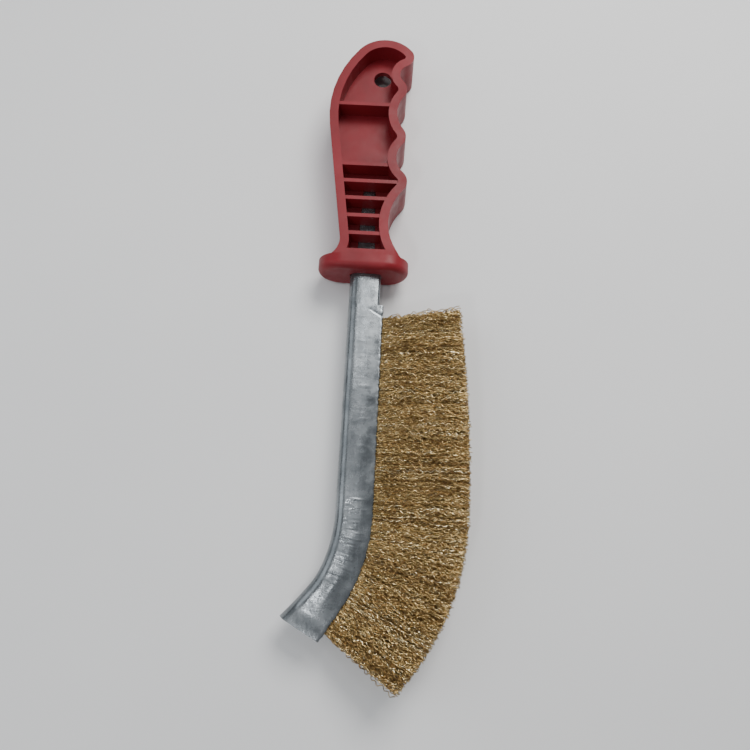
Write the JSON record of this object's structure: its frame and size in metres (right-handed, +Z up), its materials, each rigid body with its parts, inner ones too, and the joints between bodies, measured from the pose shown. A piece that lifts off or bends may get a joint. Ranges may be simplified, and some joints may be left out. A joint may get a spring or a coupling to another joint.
{
  "type": "wire brush",
  "caption": "Hand wire brush with a moulded finger-grip handle, folded steel back strip with a raking tip, and a fan of crimped wires.",
  "frame": {"origin": "centre of the bounding box in plan, at the level of the surface the brush lies on", "axes": "+Y along the brush to the hanging end of the handle, +X towards the wire face, +Z up through the brush's thickness as it lies on its side"},
  "size_m": [0.0684, 0.2708, 0.02],
  "materials": {
    "handle_plastic": "satin moulded polypropylene",
    "strip_steel": "galvanised, rolled",
    "core_steel": "drawn wire",
    "wire_brass": "brass-coated crimped wire"
  },
  "bodies": {
    "brush": {"handle": "handle_plastic", "back_strip": "strip_steel", "core_wire": "core_steel", "wire_roots": "wire_brass"},
    "wires_01": {"wires_01": "wire_brass"},
    "wires_02": {"wires_02": "wire_brass"},
    "wires_03": {"wires_03": "wire_brass"},
    "wires_04": {"wires_04": "wire_brass"},
    "wires_05": {"wires_05": "wire_brass"},
    "wires_06": {"wires_06": "wire_brass"},
    "wires_07": {"wires_07": "wire_brass"},
    "wires_08": {"wires_08": "wire_brass"},
    "wires_09": {"wires_09": "wire_brass"},
    "wires_10": {"wires_10": "wire_brass"},
    "wires_11": {"wires_11": "wire_brass"},
    "wires_12": {"wires_12": "wire_brass"},
    "wires_13": {"wires_13": "wire_brass"},
    "wires_14": {"wires_14": "wire_brass"},
    "wires_15": {"wires_15": "wire_brass"},
    "wires_16": {"wires_16": "wire_brass"}
  },
  "joints": [
    {"name": "flex_01", "type": "hinge", "parent": "brush", "child": "wires_01", "pos_m": [-0.00137, 0.00005, 0.01], "axis": [0, 1, 0], "range_deg": [-15, 15], "stiffness_Nm_per_rad": 2.3},
    {"name": "flex_02", "type": "hinge", "parent": "brush", "child": "wires_02", "pos_m": [-0.00137, -0.00775, 0.01], "axis": [0, 1, 0], "range_deg": [-15, 15], "stiffness_Nm_per_rad": 2.3},
    {"name": "flex_03", "type": "hinge", "parent": "brush", "child": "wires_03", "pos_m": [-0.00137, -0.01555, 0.01], "axis": [0, 1, 0], "range_deg": [-15, 15], "stiffness_Nm_per_rad": 2.3},
    {"name": "flex_04", "type": "hinge", "parent": "brush", "child": "wires_04", "pos_m": [-0.00137, -0.02335, 0.01], "axis": [0, 1, 0], "range_deg": [-15, 15], "stiffness_Nm_per_rad": 2.3},
    {"name": "flex_05", "type": "hinge", "parent": "brush", "child": "wires_05", "pos_m": [-0.00137, -0.03115, 0.01], "axis": [0, 1, 0], "range_deg": [-15, 15], "stiffness_Nm_per_rad": 2.3},
    {"name": "flex_06", "type": "hinge", "parent": "brush", "child": "wires_06", "pos_m": [-0.00137, -0.03895, 0.01], "axis": [0, 1, 0], "range_deg": [-15, 15], "stiffness_Nm_per_rad": 2.3},
    {"name": "flex_07", "type": "hinge", "parent": "brush", "child": "wires_07", "pos_m": [-0.00137, -0.04675, 0.01], "axis": [0, 1, 0], "range_deg": [-15, 15], "stiffness_Nm_per_rad": 2.3},
    {"name": "flex_08", "type": "hinge", "parent": "brush", "child": "wires_08", "pos_m": [-0.00137, -0.05455, 0.01], "axis": [0, 1, 0], "range_deg": [-15, 15], "stiffness_Nm_per_rad": 2.3},
    {"name": "flex_09", "type": "hinge", "parent": "brush", "child": "wires_09", "pos_m": [-0.00137, -0.06235, 0.01], "axis": [0, 1, 0], "range_deg": [-15, 15], "stiffness_Nm_per_rad": 2.3},
    {"name": "flex_10", "type": "hinge", "parent": "brush", "child": "wires_10", "pos_m": [-0.00137, -0.07015, 0.01], "axis": [0, 1, 0], "range_deg": [-15, 15], "stiffness_Nm_per_rad": 2.3},
    {"name": "flex_11", "type": "hinge", "parent": "brush", "child": "wires_11", "pos_m": [-0.00148, -0.07785, 0.01], "axis": [0.0576, 0.9983, 0], "range_deg": [-15, 15], "stiffness_Nm_per_rad": 2.3},
    {"name": "flex_12", "type": "hinge", "parent": "brush", "child": "wires_12", "pos_m": [-0.00235, -0.08542, 0.01], "axis": [0.1719, 0.9851, 0], "range_deg": [-15, 15], "stiffness_Nm_per_rad": 2.3},
    {"name": "flex_13", "type": "hinge", "parent": "brush", "child": "wires_13", "pos_m": [-0.00409, -0.09282, 0.01], "axis": [0.284, 0.9588, 0], "range_deg": [-15, 15], "stiffness_Nm_per_rad": 2.3},
    {"name": "flex_14", "type": "hinge", "parent": "brush", "child": "wires_14", "pos_m": [-0.00667, -0.09998, 0.01], "axis": [0.3923, 0.9198, 0], "range_deg": [-15, 15], "stiffness_Nm_per_rad": 2.3},
    {"name": "flex_15", "type": "hinge", "parent": "brush", "child": "wires_15", "pos_m": [-0.01005, -0.1068, 0.01], "axis": [0.4955, 0.8686, 0], "range_deg": [-15, 15], "stiffness_Nm_per_rad": 2.3},
    {"name": "flex_16", "type": "hinge", "parent": "brush", "child": "wires_16", "pos_m": [-0.01448, -0.11382, 0.01], "axis": [0.5446, 0.8387, 0], "range_deg": [-15, 15], "stiffness_Nm_per_rad": 2.3}
  ]
}
